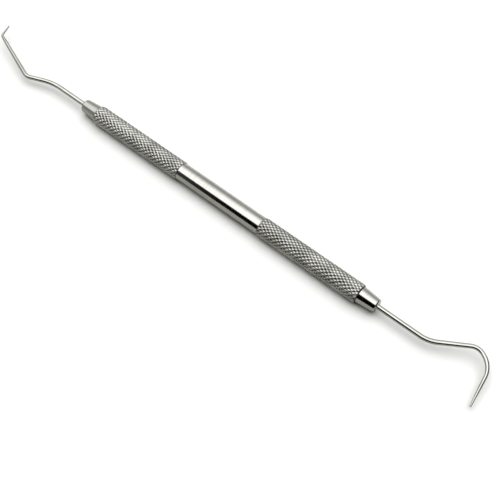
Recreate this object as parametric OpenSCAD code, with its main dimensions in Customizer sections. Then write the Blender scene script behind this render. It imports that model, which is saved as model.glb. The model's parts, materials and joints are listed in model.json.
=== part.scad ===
// Dental explorer with two working ends: a shepherd's hook and a short angled tip.
// The handle lies along X, with the hook on the +X side. The origin is on the handle's axis,
// at the middle of its plain waist. +Z is up, and the handle rests on the plane z = -knurl_d / 2.
// All sizes are in millimetres and all angles are in degrees.

/* [Handle] */
// Diameter of the handle over the crests of its knurling
knurl_d = 5.7; // [5.4:0.1:7]
// Diameter of the plain waist between the two knurled grips
waist_d = 5.2; // [4.8:0.1:5.5]
// Length of the plain waist
waist_l = 28.5; // [15:0.5:40]
// Length of the knurled grip on the hook's side
hook_grip_l = 32.7; // [20:0.1:45]
// Length of the knurled grip on the angled tip's side
angled_grip_l = 31.9; // [20:0.1:45]
// Size of the bevel at each end of a grip
grip_bevel = 0.35; // [0.1:0.05:0.6]
// Diameter of the bore that runs through the handle tube
tube_bore_d = 3.6; // [3:0.1:4]

/* [Noses] */
// Length of each tapered nose outside the tube
nose_l = 5.45; // [4:0.05:9]
// Diameter of the nose where it meets the tube
nose_base_d = 4.8; // [4.4:0.05:5.2]
// Diameter of the nose at its outer end
nose_end_d = 3.9; // [3:0.05:4.3]
// Radius of the rounded edge at the nose's outer end
nose_round = 0.5; // [0.2:0.05:0.8]
// Length of the spigot that is pressed into the tube
spigot_l = 8; // [5:0.5:12]
// Depth of the bore that holds the wire's tang, from the nose's outer end
tang_l = 11; // [6:0.5:12.5]

/* [Hook end] */
// Diameter of the wire where it leaves each nose
shank_d = 1.4; // [1.2:0.05:1.8]
// Straight run of the shank before its first bend
hook_shank_l = 12.9; // [8:0.1:20]
// Angle by which the shank bends away from the handle's axis
hook_offset_angle = 30.2; // [10:0.1:45]
// Centreline radius of the shank's first bend
hook_offset_r = 9.2; // [2:0.1:12]
// Straight run from the first bend to the crook
hook_rise_l = 8.1; // [5:0.1:14]
// Diameter of the wire around the crook and the bow of the hook
hook_bow_d = 1.25; // [0.9:0.05:1.4]
// Angle turned by the tight crook at the top of the hook
crook_angle = 59.6; // [30:0.1:70]
// Centreline radius of the crook
crook_r = 3.7; // [2.5:0.1:7]
// Angle turned by the wider bow below the crook
bow_angle = 53; // [35:0.5:90]
// Centreline radius of the bow
bow_r = 6.1; // [4:0.1:10]
// Length of the tapering tip of the hook
hook_tip_l = 8.1; // [5:0.1:12]

/* [Angled end] */
// Straight run of the shank before its first bend
angled_shank_l = 10.1; // [6:0.1:16]
// Angle of the shank's first, gentle bend
angled_offset_angle = 19.8; // [10:0.1:35]
// Centreline radius of the gentle bend
angled_offset_r = 18.2; // [6:0.1:30]
// Straight run between the gentle bend and the elbow
angled_drop_l = 4.5; // [1:0.1:8]
// Angle turned by the elbow
elbow_angle = 40.3; // [25:0.1:60]
// Centreline radius of the elbow
elbow_r = 3.7; // [1.5:0.1:6]
// Diameter of the wire at the elbow
elbow_d = 1.3; // [1.2:0.05:1.5]
// Long tapering run from the elbow to the corner at the tip
reach_l = 16; // [10:0.1:20]
// Diameter of the wire just before the corner
reach_end_d = 1; // [0.8:0.05:1.15]
// Angle turned by the corner at the tip
corner_angle = 60; // [40:1:80]
// Centreline radius of the corner
corner_r = 1.2; // [0.8:0.1:3]
// Diameter of the wire around the corner
corner_d = 0.8; // [0.55:0.05:0.8]
// Length of the short tip beyond the corner
angled_tip_l = 3; // [2:0.1:5]

/* [Tips and pose] */
// Diameter of both tips just before their blunted ends
tip_d = 0.5; // [0.3:0.05:0.5]
// Length of the blunted end of each tip
tip_blunt_l = 0.12; // [0.05:0.01:0.2]
// Roll of the whole explorer about the handle's axis, as it lies on a table
lie_roll = 8; // [0:1:18]

/* [Hidden] */
$fn = 64;
// Positions of the shoulders along X
hook_waist_x = waist_l / 2;
angled_waist_x = -waist_l / 2;
hook_tube_x = hook_waist_x + hook_grip_l;
angled_tube_x = angled_waist_x - angled_grip_l;
// Chamfer on the inner end of each spigot and each tang
lead_in = 0.25;
// Countersink at the mouth of each nose's bore
mouth_bevel = 0.12;
// Last part of the long reach, where the wire narrows quickly towards the corner
reach_neck_l = reach_l * 0.16;
// Short straight between the crook and the bow
hook_top_l = 0.5;
// How much thinner the wire is in a bend than in the straights beside it
bend_thinning = 0.03;
// How far each bend reaches into those straights, so that the wire is one solid
bend_reach = 0.1;

// Turns a shape built up along +Z so that it runs along +X
module along_x() {
    rotate([0, 90, 0]) children();
}

// Outline of one grip from its waist end to its tube end, as radius and distance pairs
function grip_outline(waist_x, tube_x, side) = [
    [waist_d / 2, waist_x],
    [knurl_d / 2, waist_x + side * grip_bevel],
    [knurl_d / 2, tube_x - side * grip_bevel],
    [knurl_d / 2 - grip_bevel, tube_x]
];

// The hollow handle, with a knurled grip at each side of a plain waist
module handle_tube() {
    hook_side = grip_outline(hook_waist_x, hook_tube_x, 1);
    angled_side = grip_outline(angled_waist_x, angled_tube_x, -1);
    outside = concat([for (i = [3:-1:0]) angled_side[i]], hook_side);
    bore = [[tube_bore_d / 2, hook_tube_x], [tube_bore_d / 2, angled_tube_x]];
    color([0.66, 0.66, 0.65])
        rotate([lie_roll, 0, 0])
        along_x()
        rotate_extrude()
        polygon(concat(outside, bore));
}

// Half section of a nose and its spigot, with distance 0 at the tube's end face
module nose_section() {
    union() {
        translate([0, -spigot_l + lead_in]) square([tube_bore_d / 2, spigot_l - lead_in]);
        polygon([
            [0, -spigot_l],
            [tube_bore_d / 2 - lead_in, -spigot_l],
            [tube_bore_d / 2, -spigot_l + lead_in],
            [0, -spigot_l + lead_in]
        ]);
        polygon([
            [0, 0],
            [nose_base_d / 2, 0],
            [nose_end_d / 2, nose_l - nose_round],
            [nose_end_d / 2 - nose_round, nose_l - nose_round],
            [nose_end_d / 2 - nose_round, nose_l],
            [0, nose_l]
        ]);
        translate([nose_end_d / 2 - nose_round, nose_l - nose_round])
            intersection() {
                circle(r = nose_round);
                square(nose_round);
            }
    }
}

// A tapered nose pressed into the end of the tube, bored from outside for the wire's tang
module nose() {
    color([0.76, 0.76, 0.75])
        difference() {
            rotate_extrude() nose_section();
            translate([0, 0, nose_l - tang_l]) cylinder(h = tang_l + 1, d = shank_d);
            translate([0, 0, nose_l - mouth_bevel])
                cylinder(h = 2 * mouth_bevel, d1 = shank_d, d2 = shank_d + 4 * mouth_bevel);
        }
}

module hook_end_nose() {
    translate([hook_tube_x, 0, 0]) rotate([lie_roll, 0, 0]) along_x() nose();
}

module angled_end_nose() {
    translate([angled_tube_x, 0, 0]) rotate([lie_roll, 0, 0]) mirror([1, 0, 0]) along_x() nose();
}

// A straight length of wire along +X, through a list of distance and diameter pairs.
// The rest of the wire is carried on from its far end.
module run(stations) {
    outline = [for (s = stations) [s[1] / 2, s[0]]];
    l = stations[len(stations) - 1][0];
    along_x() rotate_extrude() polygon(concat([[0, 0]], outline, [[0, l]]));
    translate([l, 0, 0]) children();
}

// A bend in the wire, positive towards +Y, with the rest of the wire carried on from its far end
module bend(angle, r, d) {
    turn = abs(angle);
    side = sign(angle);
    reach_in = asin(bend_reach / r);
    start = side > 0 ? -90 : 90 - turn;
    translate([0, side * r, 0])
        rotate([0, 0, start - reach_in])
        rotate_extrude(angle = turn + 2 * reach_in)
        translate([r, 0])
        circle(d = d - bend_thinning);
    translate([r * sin(turn), side * r * (1 - cos(turn)), 0])
        rotate([0, 0, angle])
        children();
}

// The tang with its chamfered inner end, and the straight shank that carries it on out of the nose
module tang_and_shank(shank_l) {
    run([[0, shank_d - 2 * lead_in], [lead_in, shank_d], [tang_l + shank_l, shank_d]]) children();
}

// The last length of a wire, tapering to a small blunted end
module tip(l, d) {
    run([[0, d], [l - tip_blunt_l, tip_d], [l, tip_d / 2]]);
}

// The shepherd's hook: the shank rises to one side, then the crook and the bow bring the tip back
// across the handle's axis
module hook_working_end() {
    color([0.78, 0.78, 0.77])
        translate([hook_tube_x + nose_l - tang_l, 0, 0])
        rotate([lie_roll, 0, 0])
        tang_and_shank(hook_shank_l)
        bend(hook_offset_angle, hook_offset_r, shank_d)
        run([[0, shank_d], [hook_rise_l, hook_bow_d]])
        bend(-crook_angle, crook_r, hook_bow_d)
        run([[0, hook_bow_d], [hook_top_l, hook_bow_d]])
        bend(-bow_angle, bow_r, hook_bow_d)
        tip(hook_tip_l, hook_bow_d);
}

// The angled end: the shank drops to one side, the elbow sends the long reach back across the axis,
// and the corner turns up the short tip
module angled_working_end() {
    color([0.78, 0.78, 0.77])
        translate([angled_tube_x - nose_l + tang_l, 0, 0])
        rotate([lie_roll, 0, 0])
        mirror([1, 0, 0])
        tang_and_shank(angled_shank_l)
        bend(-angled_offset_angle, angled_offset_r, shank_d)
        run([[0, shank_d], [angled_drop_l, elbow_d]])
        bend(elbow_angle, elbow_r, elbow_d)
        run([[0, elbow_d], [reach_l - reach_neck_l, reach_end_d], [reach_l, corner_d]])
        bend(corner_angle, corner_r, corner_d)
        tip(angled_tip_l, corner_d);
}

handle_tube();
hook_end_nose();
angled_end_nose();
hook_working_end();
angled_working_end();
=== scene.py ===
"""Dental explorer: the looks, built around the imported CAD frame.

The instrument lies on a pale table, with its handle along X and the shepherd's hook on the +X side.
Lengths are in metres and angles in radians, unless a name or a comment says otherwise.
"""

import json
import math

import bpy
import numpy as np
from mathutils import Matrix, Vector


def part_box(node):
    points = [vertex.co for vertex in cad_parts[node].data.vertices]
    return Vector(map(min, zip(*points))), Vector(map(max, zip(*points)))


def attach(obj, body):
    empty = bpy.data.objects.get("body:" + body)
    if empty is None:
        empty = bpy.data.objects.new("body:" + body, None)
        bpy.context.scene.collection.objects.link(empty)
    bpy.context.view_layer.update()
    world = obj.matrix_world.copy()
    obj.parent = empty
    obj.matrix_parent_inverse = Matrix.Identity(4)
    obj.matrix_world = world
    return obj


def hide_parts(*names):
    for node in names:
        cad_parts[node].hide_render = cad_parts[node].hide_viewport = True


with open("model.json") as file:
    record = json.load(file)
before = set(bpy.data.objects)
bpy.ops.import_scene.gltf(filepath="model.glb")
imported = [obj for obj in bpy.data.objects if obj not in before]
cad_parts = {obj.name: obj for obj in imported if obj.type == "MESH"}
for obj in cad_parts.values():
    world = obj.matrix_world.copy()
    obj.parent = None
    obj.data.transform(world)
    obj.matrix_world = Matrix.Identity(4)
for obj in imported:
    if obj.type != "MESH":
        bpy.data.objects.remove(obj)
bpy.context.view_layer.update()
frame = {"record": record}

MM = 0.001
TAU = 2 * math.pi

# Where the CAD puts things
HANDLE_LO, HANDLE_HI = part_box("handle_tube")
HOOK_NOSE_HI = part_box("hook_end_nose")[1]
ANGLED_NOSE_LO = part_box("angled_end_nose")[0]
MOUNTS = {m["name"]: m for m in frame["record"]["mounts"]}
WAIST_R = MOUNTS["handle_waist"]["dims"]["r_mm"] * MM
WAIST_END = MOUNTS["handle_waist"]["dims"]["length_mm"] * MM / 2
KNURL_R = HANDLE_HI[2]
TABLE_Z = HANDLE_LO[2]

# Handle
BORE_R = 1.8 * MM
GRIP_BEVEL = 0.35 * MM
KNURL_STARTS = 16
KNURL_PITCH = 1.46 * MM
KNURL_DEPTH = 0.28 * MM
# Mesh steps from groove to groove
KNURL_STEPS = 6
HANDLE_SIDES = KNURL_STARTS * KNURL_STEPS
# Share of the crests' height that is worn away
CREST_BLUNTING = 0.05
# How much shallower each groove is at the middle of a diamond's side, as a share of the depth
GROOVE_FILL = 0.65
# Distance from each end of the waist to a ring that keeps its shading straight
WAIST_SUPPORT = 0.08 * MM

# Noses
NOSE_L = HOOK_NOSE_HI[0] - HANDLE_HI[0]
NOSE_BASE_R = 2.4 * MM
NOSE_BASE_BEVEL = 0.08 * MM
NOSE_END_R = 1.95 * MM
NOSE_ROUND = 0.5 * MM
NOSE_ROUND_STEPS = 10
NOSE_SIDES = 96
SPIGOT_L = 8 * MM
MOUTH_BEVEL = 0.12 * MM
# Chamfer on the inner end of each spigot and each tang
LEAD_IN = 0.25 * MM

# Wires
TANG_L = 11 * MM
TANG_R = 0.7 * MM
# A hair wider than the tang, so that the two surfaces don't coincide
TANG_BORE_R = 0.71 * MM
WIRE_SIDES = 36
WIRE_STEP = 0.2 * MM
# Rings that round off each tip
TIP_RINGS = 4
# Roll of the plane of the wires about the handle's axis
LIE_ROLL = math.radians(8)

# Each working end from where its wire leaves the nose: straights are (length, None) and bends are
# (degrees, radius), with lengths and radii in millimetres. Each taper lists the wire's diameter in
# millimetres at a share of the way along.
HOOK_PATH = [
    (12.9, None), (30.2, 9.2), (8.1, None), (-59.6, 3.7), (0.5, None), (-53, 6.1), (8.1, None)
]
HOOK_TAPER = [(0, 1.4), (0.4, 1.38), (0.58, 1.28), (0.72, 1.18), (0.82, 1), (0.92, 0.78), (1, 0.5)]
ANGLED_PATH = [
    (10.1, None), (-19.8, 18.2), (4.5, None), (40.3, 3.7), (16, None), (60, 1.2), (3, None)
]
ANGLED_TAPER = [
    (0, 1.4), (0.4, 1.36), (0.56, 1.24), (0.84, 1.04), (0.9, 0.85), (0.93, 0.72), (1, 0.5)
]

# Angles between faces beyond which an edge is drawn sharp
HANDLE_CREASE = math.radians(28)
NOSE_CREASE = math.radians(35)
WIRE_CREASE = math.radians(50)

# Finishes. A pair of colours gives the two ends between which a surface varies.
WHITE = (1, 1, 1, 1)
# Knurl colour: the dark end is painted shade in the bottoms of the grooves together with dirt, and the
# bright end is crests rubbed bright by wear
GROOVE_SHADE_AND_DIRT_TO_CREST = ((0.1, 0.099, 0.094, 1), (0.87, 0.865, 0.83, 1))
TURNED_STEEL = ((0.63, 0.625, 0.605, 1), (0.73, 0.725, 0.7, 1))
POLISHED_WIRE = ((0.66, 0.655, 0.63, 1), (0.74, 0.735, 0.71, 1))
PAPER = ((0.665, 0.665, 0.657, 1), (0.695, 0.695, 0.687, 1))
# Painted shade: the darker copy of the table that the steel reflects, from the near side of the
# handle's axis, where the handle's shadow falls, to the far side
PAINTED_SHADE_TABLE_IN_STEEL = ((0.245, 0.245, 0.222, 1), (0.42, 0.42, 0.41, 1))
STUDIO_TINT = (1, 1, 0.975, 1)
WAIST_ROUGHNESS = 0.11
NOSE_ROUGHNESS = 0.09

# Table
TABLE_R = 6.0
TABLE_SIDES = 96
# Distances from the middle of the table over which it fades into the background
TABLE_FADE = (0.16, 0.5)

# Viewpoint: the camera looks this far round from +Y towards -X, and this far down
VIEW_AZIMUTH = math.radians(38.93)
VIEW_ELEVATION = math.radians(60.56)
VIEW_DISTANCE = 0.2364
VIEW_FIELD = math.radians(31.42)
VIEW_CENTRE = Vector((16.44 * MM, -7.62 * MM, 0))
VIEW_CLIP_START = 10 * MM

# Softbox over the table
SOFTBOX_D = 1.1
SOFTBOX_DISTANCE = 0.75
SOFTBOX_TILT = math.radians(14)
SOFTBOX_POWER = 9.0

# What the steel reflects: how bright each part of the studio is
CEILING = 1.5
FAR_WALL = 0.39
NEAR_WALL = 0.0
# The near wall is hazier where it lies beyond the angled end
NEAR_WALL_HAZE = 0.24
ANGLED_END_WALL = 0.4
HOOK_END_WALL = 0.02
# Where the far wall and the near wall meet the ceiling, as angles about the handle's axis that
# start from the horizon at the far side
FAR_CEILING_EDGE = (math.radians(26), math.radians(90))
NEAR_CEILING_EDGE = (math.radians(124), math.radians(134))
# How much higher the near edge of the ceiling is towards the hook's side
NEAR_EDGE_RISE = math.radians(12)
# Where the studio changes along the handle, as the X part of the direction reflected
NEAR_EDGE_RISE_SPAN = (-0.32, -0.1)
NEAR_WALL_HAZE_EDGE = (-0.58, -0.36)
ANGLED_END_WALL_EDGE = (-0.85, -0.5)
HOOK_END_WALL_EDGE = (0.2, 0.45)


# ---------------------------------------------------------------- meshes

def make_piece(name, vertices, faces, node, crease):
    """A smooth mesh with creases at sharp corners, which stands for one CAD node."""
    mesh = bpy.data.meshes.new(name)
    mesh.from_pydata(vertices, [], faces)
    mesh.shade_smooth()
    mesh.set_sharp_from_angle(angle=crease)
    piece = bpy.data.objects.new(name, mesh)
    bpy.context.scene.collection.objects.link(piece)
    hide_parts(node)
    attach(piece, "root")
    return piece


def circle(x, r, sides):
    """A ring of points about the X axis, or the single point where the radius is 0."""
    if r == 0:
        return [(x, 0, 0)]
    angles = [TAU * i / sides for i in range(sides)]
    return [(x, r * math.cos(a), r * math.sin(a)) for a in angles]


def join_rings(first, first_count, second, second_count):
    """Faces between two rings, given by where they start and how many points they have.

    Either ring may be a single point. The faces look outwards when the second ring is ahead.
    """
    sides = max(first_count, second_count)
    steps = [(i, (i + 1) % sides) for i in range(sides)]
    if first_count == 1:
        return [(first, second + j, second + i) for i, j in steps]
    if second_count == 1:
        return [(first + i, first + j, second) for i, j in steps]
    return [(first + i, first + j, second + j, second + i) for i, j in steps]


def skin(rings):
    """Vertices and faces of a chain of rings, any of which may be a single point."""
    vertices = list(rings[0])
    faces = []
    for behind, ahead in zip(rings, rings[1:]):
        start = len(vertices)
        faces += join_rings(start - len(behind), len(behind), start, len(ahead))
        vertices += ahead
    return vertices, faces


# ---------------------------------------------------------------- handle

def groove_height(phase):
    """Height across one set of grooves: 0 at the bottom of a groove and 1 on the blunted crest."""
    from_groove = 0.5 - np.abs(phase - np.floor(phase) - 0.5)
    return np.minimum(2 * from_groove * (1 + CREST_BLUNTING), 1)


def grip_radii(length, end_radii):
    """Radius at each vertex of a knurled grip. Odd rows are half a step round from even rows."""
    rows = 2 * round(length * KNURL_STEPS / KNURL_PITCH)
    k = np.arange(rows + 1)[:, None]
    turn = (np.arange(HANDLE_SIDES)[None, :] + 0.5 * (k % 2)) / HANDLE_SIDES
    along = k / (2 * KNURL_STEPS)
    first = groove_height(KNURL_STARTS * turn + along)
    second = groove_height(KNURL_STARTS * turn - along)
    height = np.minimum(first, second) + GROOVE_FILL * np.abs(first - second)
    knurled = KNURL_R - KNURL_DEPTH * (1 - height)
    from_start = k / rows * length / GRIP_BEVEL
    from_end = (1 - k / rows) * length / GRIP_BEVEL
    start_cone = end_radii[0] + (KNURL_R - end_radii[0]) * from_start
    end_cone = end_radii[1] + (KNURL_R - end_radii[1]) * from_end
    return np.minimum(knurled, np.minimum(start_cone, end_cone))


def grip_vertices(radii, x_from, x_to):
    """Vertices of a knurled grip, row by row along X."""
    rows, sides = radii.shape
    vertices = []
    for k in range(rows):
        x = x_from + (x_to - x_from) * k / (rows - 1)
        for i in range(sides):
            a = TAU * (i + 0.5 * (k % 2)) / sides
            vertices.append((x, radii[k, i] * math.cos(a), radii[k, i] * math.sin(a)))
    return vertices


def grip_faces(radii, first):
    """Triangles between the staggered rows of a grip, whose vertices start at number first.

    Each diamond of four vertices is split along its higher diagonal, which keeps the ridges.
    """
    rows, sides = radii.shape
    faces = []
    for k in range(rows):
        for i in range(sides):
            east_i = (i + 1) % sides
            middle_i = (i + k % 2) % sides
            west, east = first + k * sides + i, first + k * sides + east_i
            south, north = first + (k - 1) * sides + middle_i, first + (k + 1) * sides + middle_i
            if k == 0:
                faces.append((west, east, north))
            elif k == rows - 1:
                faces.append((west, south, east))
            elif radii[k, i] + radii[k, east_i] >= radii[k - 1, middle_i] + radii[k + 1, middle_i]:
                faces += [(west, east, north), (west, south, east)]
            else:
                faces += [(south, north, west), (south, east, north)]
    return faces


def add_handle_ring(vertices, faces, x, r):
    """Adds a plain ring to the handle and joins it to the ring before."""
    start = len(vertices)
    vertices += circle(x, r, HANDLE_SIDES)
    faces += join_rings(start - HANDLE_SIDES, HANDLE_SIDES, start, HANDLE_SIDES)


def build_handle():
    """The hollow handle: two diamond-knurled grips, the turned waist between them and the bore."""
    tube_end_r = KNURL_R - GRIP_BEVEL
    angled_grip = grip_radii(-WAIST_END - HANDLE_LO[0], (tube_end_r, WAIST_R))
    hook_grip = grip_radii(HANDLE_HI[0] - WAIST_END, (WAIST_R, tube_end_r))
    vertices = grip_vertices(angled_grip, HANDLE_LO[0], -WAIST_END)
    faces = grip_faces(angled_grip, 0)
    waist_from = len(faces)
    for x in (WAIST_SUPPORT - WAIST_END, 0, WAIST_END - WAIST_SUPPORT):
        add_handle_ring(vertices, faces, x, WAIST_R)
    hook_first = len(vertices)
    faces += join_rings(hook_first - HANDLE_SIDES, HANDLE_SIDES, hook_first, HANDLE_SIDES)
    waist_to = len(faces)
    vertices += grip_vertices(hook_grip, WAIST_END, HANDLE_HI[0])
    faces += grip_faces(hook_grip, hook_first)
    for x in (HANDLE_HI[0], HANDLE_LO[0]):
        add_handle_ring(vertices, faces, x, BORE_R)
    faces += join_rings(len(vertices) - HANDLE_SIDES, HANDLE_SIDES, 0, HANDLE_SIDES)
    name = "knurled_handle"
    piece = make_piece(name, vertices, faces, "handle_tube", HANDLE_CREASE)
    piece.data.materials.append(knurled_steel())
    piece.data.materials.append(turned_steel("turned waist", WAIST_ROUGHNESS))
    for face in piece.data.polygons[waist_from:waist_to]:
        face.material_index = 1


# ---------------------------------------------------------------- noses

def rounded_corner(x, r, size, steps):
    """Points round an outer corner at (x, r), from the side towards the outer end."""
    angles = [math.pi / 2 * k / steps for k in range(steps + 1)]
    return [(x - size + size * math.sin(a), r - size + size * math.cos(a)) for a in angles]


def nose_outline():
    """Half section of a nose and its spigot, with x = 0 at the tube's end face and the nose ahead."""
    return [
        (-SPIGOT_L, 0),
        (-SPIGOT_L, BORE_R - LEAD_IN),
        (-SPIGOT_L + LEAD_IN, BORE_R),
        (0, BORE_R),
        (0, NOSE_BASE_R - NOSE_BASE_BEVEL),
        (NOSE_BASE_BEVEL, NOSE_BASE_R),
        *rounded_corner(NOSE_L, NOSE_END_R, NOSE_ROUND, NOSE_ROUND_STEPS),
        (NOSE_L, TANG_BORE_R + MOUTH_BEVEL),
        (NOSE_L - MOUTH_BEVEL, TANG_BORE_R),
        (NOSE_L - TANG_L, TANG_BORE_R),
        (NOSE_L - TANG_L, 0),
    ]


def build_nose(name, node, face_x, side):
    """A tapered nose, seated on one end face of the tube. Its bore stops at the tang's inner end."""
    vertices, faces = skin([circle(x, r, NOSE_SIDES) for x, r in nose_outline()])
    placed = [(face_x + side * x, side * y, z) for x, y, z in vertices]
    piece = make_piece(name, placed, faces, node, NOSE_CREASE)
    piece.data.materials.append(turned_steel("turned nose", NOSE_ROUGHNESS))


# ---------------------------------------------------------------- wires

def walk(path):
    """Points and headings along a chain of straights and bends, in the plane of the bends."""
    place, heading = Vector((0, 0)), 0.0
    points = [(place.copy(), heading)]
    for size, radius in path:
        turn = 0.0 if radius is None else math.radians(size)
        length = size * MM if radius is None else abs(turn) * radius * MM
        steps = max(2, math.ceil(length / WIRE_STEP))
        for k in range(steps):
            middle = heading + turn * (k + 0.5) / steps
            place += Vector((math.cos(middle), math.sin(middle))) * (length / steps)
            points.append((place.copy(), heading + turn * (k + 1) / steps))
        heading += turn
    return points


def tapered_radii(points, taper):
    """The wire's radius at each point of its path."""
    run = [0.0]
    for behind, ahead in zip(points, points[1:]):
        run.append(run[-1] + (ahead[0] - behind[0]).length)
    shares = [share for share, d in taper]
    radii = [d * MM / 2 for share, d in taper]
    return list(np.interp(np.array(run) / run[-1], shares, radii))


def wire_sections(path, taper):
    """Place, heading and radius of each ring of a wire, from its tang's inner end to its tip."""
    tang = [(-TANG_L, TANG_R - LEAD_IN), (LEAD_IN - TANG_L, TANG_R), (-MOUTH_BEVEL, TANG_R)]
    sections = [(Vector((x, 0)), 0.0, r) for x, r in tang]
    points = walk(path)
    radii = tapered_radii(points, taper)
    sections += [(place, heading, r) for (place, heading), r in zip(points, radii)]
    end, heading = points[-1]
    end_r = radii[-1]
    ahead = Vector((math.cos(heading), math.sin(heading)))
    for k in range(1, TIP_RINGS + 1):
        a = math.pi / 2 * k / (TIP_RINGS + 1)
        sections.append((end + ahead * end_r * math.sin(a), heading, end_r * math.cos(a)))
    sections.append((end + ahead * end_r, heading, 0.0))
    return sections


def wire_ring(place, heading, r, face_x, side):
    """One ring of a wire as it lies in the frame, or the single point where the radius is 0."""
    ring = []
    for i in range(WIRE_SIDES if r else 1):
        a = TAU * i / WIRE_SIDES
        across, up = r * math.cos(a), r * math.sin(a)
        u = place.x - across * math.sin(heading)
        v = place.y + across * math.cos(heading)
        y = v * math.cos(LIE_ROLL) - up * math.sin(LIE_ROLL)
        z = v * math.sin(LIE_ROLL) + up * math.cos(LIE_ROLL)
        ring.append((face_x + side * u, y, z))
    return ring


def build_wire(name, node, face_x, side, path, taper):
    """A bent, tapering wire from its tang in the nose to its rounded tip, as a swept tube."""
    sections = wire_sections(path, taper)
    vertices, faces = skin([wire_ring(*section, face_x, side) for section in sections])
    faces.append(tuple(reversed(range(WIRE_SIDES))))
    if side < 0:
        faces = [tuple(reversed(face)) for face in faces]
    piece = make_piece(name, vertices, faces, node, WIRE_CREASE)
    piece.data.materials.append(polished_steel())


# ---------------------------------------------------------------- materials

class Nodes:
    """A short way to add and wire shader nodes."""

    def __init__(self, tree):
        self.tree = tree
        tree.nodes.clear()

    def join(self, node, key, value):
        """Sets an input, or wires it to another node's output."""
        if isinstance(value, bpy.types.NodeSocket):
            self.tree.links.new(value, node.inputs[key])
        else:
            node.inputs[key].default_value = value

    def add(self, kind, inputs=(), **settings):
        """A new node with its settings and its inputs."""
        node = self.tree.nodes.new(kind)
        for key, value in settings.items():
            setattr(node, key, value)
        for key, value in dict(inputs).items():
            self.join(node, key, value)
        return node

    def maths(self, operation, a, b=0.0, clamp=False):
        """The result of one sum, such as ADD or MULTIPLY."""
        settings = {"operation": operation, "use_clamp": clamp}
        return self.add("ShaderNodeMath", {0: a, 1: b}, **settings).outputs[0]

    def split(self, vector):
        """The x, y and z parts of a vector."""
        return self.add("ShaderNodeSeparateXYZ", {"Vector": vector}).outputs

    def ramp(self, value, low, high, to_low=0.0, to_high=1.0):
        """A smooth step from to_low to to_high, as the value goes from low to high."""
        inputs = {"Value": value, "From Min": low, "From Max": high}
        inputs |= {"To Min": to_low, "To Max": to_high}
        return self.add("ShaderNodeMapRange", inputs, interpolation_type="SMOOTHSTEP").outputs[0]

    def colour(self, share, low, high):
        """A colour between two colours."""
        inputs = {0: share, 6: low, 7: high}
        return self.add("ShaderNodeMix", inputs, data_type="RGBA").outputs[2]

    def mix(self, share, low, high):
        """A number between two numbers."""
        inputs = {0: share, 2: low, 3: high}
        return self.add("ShaderNodeMix", inputs, data_type="FLOAT").outputs[0]

    def noise(self, vector, scale, detail=2.0, roughness=0.5):
        """Noise with about this many blots to a metre."""
        inputs = {"Vector": vector, "Scale": scale, "Detail": detail, "Roughness": roughness}
        return self.add("ShaderNodeTexNoise", inputs).outputs["Fac"]


def new_material(name):
    """An empty node material, its nodes and the position of the shaded point in the frame."""
    material = bpy.data.materials.new(name)
    material.use_nodes = True
    nodes = Nodes(material.node_tree)
    position = nodes.add("ShaderNodeTexCoord").outputs["Object"]
    return material, nodes, position


def finish_metal(nodes, colour, roughness, height, bump_depth, **more):
    """Joins colour, roughness, a bump height and any more inputs into a metal surface."""
    inputs = {"Height": height, "Distance": bump_depth, "Strength": 1.0}
    bump = nodes.add("ShaderNodeBump", inputs).outputs["Normal"]
    inputs = {"Base Color": colour, "Metallic": 1.0, "Roughness": roughness, "Normal": bump}
    shader = nodes.add("ShaderNodeBsdfPrincipled", inputs | more).outputs[0]
    nodes.add("ShaderNodeOutputMaterial", {"Surface": shader})


def distance_from_axis(nodes, position):
    """How far the shaded point is from the handle's axis."""
    _, y, z = nodes.split(position)
    squares = nodes.maths("ADD", nodes.maths("POWER", y, 2), nodes.maths("POWER", z, 2))
    return nodes.maths("SQRT", squares)


def knurled_steel():
    """Satin steel, dull in the bottoms of the grooves with painted shade and dirt, and rubbed bright
    on the crests.
    """
    material, nodes, position = new_material("knurled steel")
    crest = nodes.ramp(distance_from_axis(nodes, position), KNURL_R - KNURL_DEPTH, KNURL_R)
    blotches = nodes.noise(position, scale=260, detail=3)
    grain = nodes.noise(position, scale=9000, detail=3, roughness=0.7)
    share = nodes.maths("ADD", crest, nodes.ramp(blotches, 0.3, 0.7, -0.15, 0.15), clamp=True)
    # The colour goes from painted shade and dirt in the grooves to the worn, bright crests
    colour = nodes.colour(share, *GROOVE_SHADE_AND_DIRT_TO_CREST)
    worn = nodes.ramp(share, 0, 1, 0.38, 0.26)
    roughness = nodes.maths("ADD", worn, nodes.ramp(grain, 0.3, 0.7, -0.05, 0.05))
    finish_metal(nodes, colour, roughness, grain, bump_depth=0.004 * MM)
    return material


def turned_steel(name, base_roughness):
    """Steel with the fine rings of a lathe cut, and faint blotches of polishing."""
    material, nodes, position = new_material(name)
    inputs = {0: position, 1: (1, 0.03, 0.03)}
    drawn_round = nodes.add("ShaderNodeVectorMath", inputs, operation="MULTIPLY").outputs[0]
    rings = nodes.noise(drawn_round, scale=14000, detail=4, roughness=0.7)
    broad_rings = nodes.maths("MULTIPLY", nodes.noise(drawn_round, scale=1200), 0.5)
    blotches = nodes.maths("MULTIPLY", nodes.noise(position, scale=180, detail=3), 0.5)
    tone = nodes.ramp(nodes.maths("ADD", broad_rings, blotches), 0.3, 0.7)
    colour = nodes.colour(tone, *TURNED_STEEL)
    roughness = nodes.maths("ADD", nodes.ramp(rings, 0.25, 0.75, -0.05, 0.06), base_roughness)
    tangent = nodes.add("ShaderNodeTangent", direction_type="RADIAL", axis="X").outputs[0]
    more = {"Anisotropic": 0.5, "Tangent": tangent}
    finish_metal(nodes, colour, roughness, rings, bump_depth=0.0015 * MM, **more)
    return material


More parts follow.
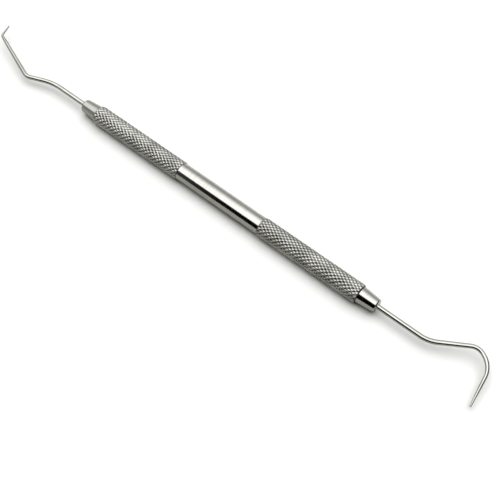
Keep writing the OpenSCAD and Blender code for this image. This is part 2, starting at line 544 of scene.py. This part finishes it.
def polished_steel():
    """Polished wire, with faint smears and hairlines."""
    material, nodes, position = new_material("polished wire")
    smears = nodes.noise(position, scale=320, detail=3)
    hairlines = nodes.noise(position, scale=12000, roughness=0.6)
    colour = nodes.colour(nodes.ramp(smears, 0.3, 0.7), *POLISHED_WIRE)
    smeared = nodes.ramp(smears, 0.3, 0.7, 0.06, 0.11)
    roughness = nodes.maths("ADD", smeared, nodes.ramp(hairlines, 0.3, 0.7, -0.02, 0.03))
    finish_metal(nodes, colour, roughness, hairlines, bump_depth=0.0008 * MM)
    return material


# ---------------------------------------------------------------- studio

def table_material():
    """Matt white paper, which fades into the pale background. The steel reflects a duller copy of it,
    painted shade that is darkest on the near side.
    """
    material, nodes, position = new_material("white table")
    in_steel = nodes.add("ShaderNodeLightPath").outputs["Is Glossy Ray"]
    _, y, _ = nodes.split(position)
    # Painted shade: the steel sees a darker copy of the paper, darkest on the near side of the
    # handle's axis
    reflected = nodes.colour(nodes.ramp(y, 0, KNURL_R), *PAINTED_SHADE_TABLE_IN_STEEL)
    speckle = nodes.noise(position, scale=900, detail=4, roughness=0.6)
    paper_colour = nodes.colour(in_steel, nodes.colour(speckle, *PAPER), reflected)
    paper = nodes.add("ShaderNodeBsdfDiffuse", {"Color": paper_colour}).outputs[0]
    # The glow that the steel reflects carries the same painted shade
    glow_colour = nodes.colour(in_steel, WHITE, reflected)
    glow = nodes.add("ShaderNodeEmission", {"Color": glow_colour, "Strength": 1.0}).outputs[0]
    away = nodes.add("ShaderNodeVectorMath", {0: position}, operation="LENGTH").outputs["Value"]
    inputs = {0: nodes.ramp(away, *TABLE_FADE), 1: paper, 2: glow}
    shader = nodes.add("ShaderNodeMixShader", inputs).outputs[0]
    nodes.add("ShaderNodeOutputMaterial", {"Surface": shader})
    return material


def build_table():
    """A wide round table top at the height on which the handle rests."""
    ring = [(y, z, 0) for x, y, z in circle(0, TABLE_R, TABLE_SIDES)]
    mesh = bpy.data.meshes.new("table")
    mesh.from_pydata(ring, [], [tuple(range(TABLE_SIDES))])
    table = bpy.data.objects.new("table", mesh)
    table.location.z = TABLE_Z
    table.data.materials.append(table_material())
    bpy.context.scene.collection.objects.link(table)


def studio_light(nodes):
    """How bright the studio is in each direction from which it is reflected."""
    direction = nodes.add("ShaderNodeTexCoord").outputs["Generated"]
    x, y, z = nodes.split(direction)
    around = nodes.maths("ARCTAN2", z, y)
    ceiling = nodes.ramp(x, *ANGLED_END_WALL_EDGE, ANGLED_END_WALL, CEILING)
    near_wall = nodes.ramp(x, *NEAR_WALL_HAZE_EDGE, NEAR_WALL_HAZE, NEAR_WALL)
    rise = nodes.ramp(x, *NEAR_EDGE_RISE_SPAN, 0, NEAR_EDGE_RISE)
    past_near_edge = nodes.ramp(nodes.maths("ADD", around, rise), *NEAR_CEILING_EDGE)
    near_side = nodes.mix(past_near_edge, ceiling, near_wall)
    far_side = nodes.mix(nodes.ramp(around, *FAR_CEILING_EDGE), FAR_WALL, ceiling)
    is_far = nodes.maths("LESS_THAN", around, math.pi / 2)
    light = nodes.mix(is_far, near_side, far_side)
    return nodes.mix(nodes.ramp(x, *HOOK_END_WALL_EDGE), light, HOOK_END_WALL)


def build_world():
    """Pale to the camera, and a studio with a bright ceiling and darker walls to the steel."""
    world = bpy.data.worlds.new("studio")
    bpy.context.scene.world = world
    world.use_nodes = True
    nodes = Nodes(world.node_tree)
    inputs = {"Color": STUDIO_TINT, "Strength": studio_light(nodes)}
    studio = nodes.add("ShaderNodeBackground", inputs).outputs[0]
    pale = nodes.add("ShaderNodeBackground", {"Color": WHITE, "Strength": 1.0}).outputs[0]
    seen = nodes.add("ShaderNodeLightPath").outputs["Is Camera Ray"]
    shader = nodes.add("ShaderNodeMixShader", {0: seen, 1: studio, 2: pale}).outputs[0]
    nodes.add("ShaderNodeOutputWorld", {"Surface": shader})


def build_key_light():
    """A wide softbox above and a little behind, which lights the table and isn't seen in the steel."""
    data = bpy.data.lights.new("softbox", "AREA")
    data.shape = "DISK"
    data.size = SOFTBOX_D
    data.energy = SOFTBOX_POWER
    light = bpy.data.objects.new("softbox", data)
    direction = Vector((0, math.sin(SOFTBOX_TILT), math.cos(SOFTBOX_TILT)))
    light.location = direction * SOFTBOX_DISTANCE
    light.rotation_euler = direction.to_track_quat("Z", "Y").to_euler()
    light.visible_glossy = False
    bpy.context.scene.collection.objects.link(light)


def build_camera():
    """Looks down on the instrument, with the hook nearest."""
    data = bpy.data.cameras.new("camera")
    data.angle = VIEW_FIELD
    data.clip_start = VIEW_CLIP_START
    camera = bpy.data.objects.new("camera", data)
    level = Vector((-math.sin(VIEW_AZIMUTH), math.cos(VIEW_AZIMUTH), 0))
    forward = level * math.cos(VIEW_ELEVATION) - Vector((0, 0, math.sin(VIEW_ELEVATION)))
    camera.location = VIEW_CENTRE - forward * VIEW_DISTANCE
    camera.rotation_euler = forward.to_track_quat("-Z", "Y").to_euler()
    bpy.context.scene.collection.objects.link(camera)
    bpy.context.scene.camera = camera


build_handle()
build_nose("hook_nose", "hook_end_nose", HANDLE_HI[0], 1)
build_nose("angled_nose", "angled_end_nose", HANDLE_LO[0], -1)
build_wire("shepherds_hook", "hook_working_end", HOOK_NOSE_HI[0], 1, HOOK_PATH, HOOK_TAPER)
build_wire("angled_tip", "angled_working_end", ANGLED_NOSE_LO[0], -1, ANGLED_PATH, ANGLED_TAPER)
build_table()
build_world()
build_key_light()
build_camera()
bpy.context.scene.view_settings.view_transform = "Standard"
